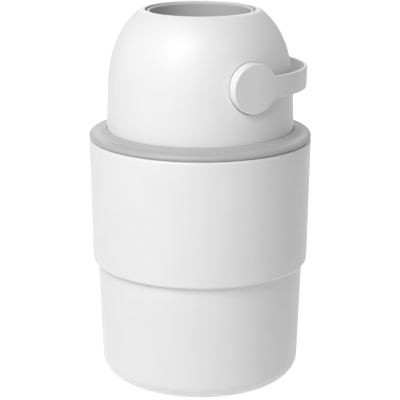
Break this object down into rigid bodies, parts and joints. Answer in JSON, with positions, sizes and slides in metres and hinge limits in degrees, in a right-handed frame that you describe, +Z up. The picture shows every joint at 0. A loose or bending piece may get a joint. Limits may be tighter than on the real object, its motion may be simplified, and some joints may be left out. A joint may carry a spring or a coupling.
{
  "type": "nappy bin",
  "caption": "Free-standing nappy bin: a stepped round tub, a grey shoulder ring, and a domed head whose airlock drum turns half a turn with a looped side handle.",
  "frame": {"origin": "middle of the face the bin stands on", "axes": "+Z up along the tub's axis, +X towards the far bend of the handle at rest, +Y along the handle's pivot axis towards the rear disc"},
  "size_m": [0.24, 0.2398, 0.404],
  "materials": {
    "white_plastic": "satin",
    "grey_plastic": "satin",
    "seal_rubber": "matte",
    "bush_plastic": "satin",
    "screw_steel": "plated"
  },
  "bodies": {
    "tub": {"bin_body": "white_plastic"},
    "shoulder": {"bag_ring": "grey_plastic", "ring_gasket": "seal_rubber"},
    "hoop": {"bag_hoop": "grey_plastic"},
    "head": {"dome_shell": "white_plastic", "upper_chamber": "grey_plastic", "lower_chamber": "grey_plastic", "base_plate": "grey_plastic", "mouth_seal": "seal_rubber", "outlet_seal": "seal_rubber", "head_gasket": "seal_rubber", "head_screws": "screw_steel", "front_bush": "bush_plastic", "rear_bush": "bush_plastic"},
    "drum": {"drum_barrel": "grey_plastic", "upper_drum_rim": "grey_plastic", "lower_drum_rim": "grey_plastic", "handle": "white_plastic", "handle_screws": "screw_steel"},
    "plunger": {"plunger_upper_half": "white_plastic", "plunger_lower_half": "white_plastic", "plunger_seal": "seal_rubber"}
  },
  "joints": [
    {"name": "shoulder_lift", "type": "slide", "parent": "tub", "child": "shoulder", "axis": [0, 0, 1], "range_m": [0, 0.15]},
    {"name": "hoop_release", "type": "slide", "parent": "shoulder", "child": "hoop", "axis": [0, 0, -1], "range_m": [0, 0.03]},
    {"name": "head_lift", "type": "slide", "parent": "shoulder", "child": "head", "axis": [0, 0, 1], "range_m": [0, 0.2]},
    {"name": "drum_turn", "type": "hinge", "parent": "head", "child": "drum", "pos_m": [0, 0, 0.334], "axis": [0, -1, 0], "range_deg": [0, 180]},
    {"name": "plunger_slide", "type": "slide", "parent": "drum", "child": "plunger", "axis": [0, 0, 1], "range_m": [0, 0.1106]}
  ]
}
